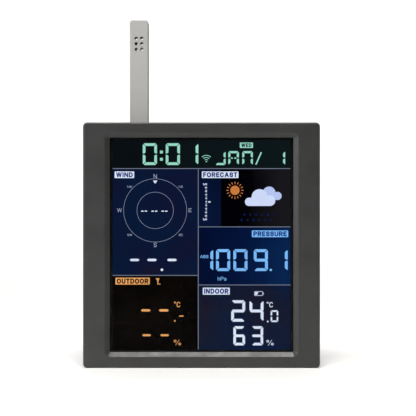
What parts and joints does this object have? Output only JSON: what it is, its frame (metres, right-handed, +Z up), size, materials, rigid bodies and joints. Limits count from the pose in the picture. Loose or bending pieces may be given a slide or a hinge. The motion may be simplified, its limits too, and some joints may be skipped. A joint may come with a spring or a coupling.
{
  "type": "home weather station",
  "caption": "Desk display console for weather readings, in a two-part case with a fold-up sensor arm, a fold-out foot, a battery door and push keys.",
  "frame": {"origin": "middle of the case's flat bottom, where the console stands", "axes": "+X to the viewer's right, +Y away from the viewer, through the case, +Z up"},
  "size_m": [0.14, 0.0658, 0.2084],
  "materials": {
    "dark_shell": "fine spark texture, satin",
    "light_shell": "fine spark texture, satin",
    "window_clear": "clear hard-coated acrylic",
    "lcd_glass": "dark polarised glass",
    "film_tint": "printed colour film",
    "guide_clear": "clear moulded acrylic",
    "tray_white": "white moulded tray",
    "gasket_foam": "closed-cell foam",
    "rubber_black": "matt rubber",
    "rubber_grey": "matt silicone",
    "board_green": "solder mask over fibreglass",
    "chip_black": "moulded resin",
    "screw_steel": "zinc plated",
    "pin_steel": "ground steel",
    "contact_steel": "nickel plated spring steel",
    "shield_tin": "tinned shield",
    "copper_wire": "enamelled copper",
    "lead_red": "insulated lead",
    "lead_black": "insulated lead",
    "cell_sleeve": "plain sleeve over the can",
    "plate_film": "plain printed film",
    "led_white": "white package"
  },
  "bodies": {
    "case": {"front_frame": "dark_shell", "display_window": "window_clear", "window_gasket": "gasket_foam", "lcd_front_glass": "lcd_glass", "lcd_rear_glass": "lcd_glass", "colour_film": "film_tint", "light_guide": "guide_clear", "backlight_tray": "tray_white", "backlight_leds": "led_white", "zebra_strip": "rubber_grey", "display_screws": "screw_steel", "main_board": "board_green", "board_screws": "screw_steel", "controller_cover": "chip_black", "wifi_module": "shield_tin", "radio_module": "shield_tin", "radio_antenna": "copper_wire", "barometer": "shield_tin", "buzzer": "chip_black", "dc_socket": "chip_black", "dc_socket_pin": "contact_steel", "key_switches": "chip_black", "rear_cover": "dark_shell", "case_screws": "screw_steel", "rating_plate": "plate_film", "battery_upper": "cell_sleeve", "battery_middle": "cell_sleeve", "battery_lower": "cell_sleeve", "battery_springs": "contact_steel", "battery_plates": "contact_steel", "battery_lead_red": "lead_red", "battery_lead_black": "lead_black", "arm_hinge_pin": "pin_steel", "hinge_washers": "rubber_grey", "sensor_lead": "lead_black", "foot_hinge_pins": "pin_steel"},
    "battery_hatch": {"battery_door": "dark_shell", "door_cushion": "gasket_foam"},
    "sensor_arm": {"arm_shell": "light_shell", "arm_cover": "light_shell", "arm_screw": "screw_steel", "arm_board": "board_green", "humidity_sensor": "chip_black", "arm_lead": "lead_black"},
    "desk_foot": {"foot_plate": "dark_shell", "foot_pads": "rubber_black"},
    "set_key": {"key_set": "rubber_grey", "plunger_set": "chip_black"},
    "mode_key": {"key_mode": "rubber_grey", "plunger_mode": "chip_black"},
    "up_key": {"key_up": "rubber_grey", "plunger_up": "chip_black"},
    "down_key": {"key_down": "rubber_grey", "plunger_down": "chip_black"},
    "history_key": {"key_history": "rubber_grey", "plunger_history": "chip_black"},
    "light_key": {"key_light": "rubber_grey", "plunger_light": "chip_black"},
    "reset_button": {"reset_plunger": "chip_black"}
  },
  "joints": [
    {"name": "arm_fold", "type": "hinge", "parent": "case", "child": "sensor_arm", "pos_m": [-0.038, 0.0081, 0.1365], "axis": [-1, 0, 0], "range_deg": [0, 180]},
    {"name": "foot_fold", "type": "hinge", "parent": "case", "child": "desk_foot", "pos_m": [0, 0.0103, 0.0024], "axis": [1, 0, 0], "range_deg": [0, 90]},
    {"name": "battery_door_swing", "type": "hinge", "parent": "case", "child": "battery_hatch", "pos_m": [0.006, 0.0116, 0.0709], "axis": [-1, 0, 0], "range_deg": [0, 60]},
    {"name": "set_press", "type": "slide", "parent": "case", "child": "set_key", "axis": [0, -1, 0], "range_m": [0, 0.0006], "stiffness_N_per_m": 800, "springref_m": -0.0003},
    {"name": "mode_press", "type": "slide", "parent": "case", "child": "mode_key", "axis": [0, -1, 0], "range_m": [0, 0.0006], "stiffness_N_per_m": 800, "springref_m": -0.0003},
    {"name": "up_press", "type": "slide", "parent": "case", "child": "up_key", "axis": [0, -1, 0], "range_m": [0, 0.0006], "stiffness_N_per_m": 800, "springref_m": -0.0003},
    {"name": "down_press", "type": "slide", "parent": "case", "child": "down_key", "axis": [0, -1, 0], "range_m": [0, 0.0006], "stiffness_N_per_m": 800, "springref_m": -0.0003},
    {"name": "history_press", "type": "slide", "parent": "case", "child": "history_key", "axis": [0, -1, 0], "range_m": [0, 0.0006], "stiffness_N_per_m": 800, "springref_m": -0.0003},
    {"name": "light_press", "type": "slide", "parent": "case", "child": "light_key", "axis": [0, -1, 0], "range_m": [0, 0.0006], "stiffness_N_per_m": 800, "springref_m": -0.0003},
    {"name": "reset_press", "type": "slide", "parent": "case", "child": "reset_button", "axis": [0, -1, 0], "range_m": [0, 0.0003], "stiffness_N_per_m": 800, "springref_m": -0.0003}
  ]
}
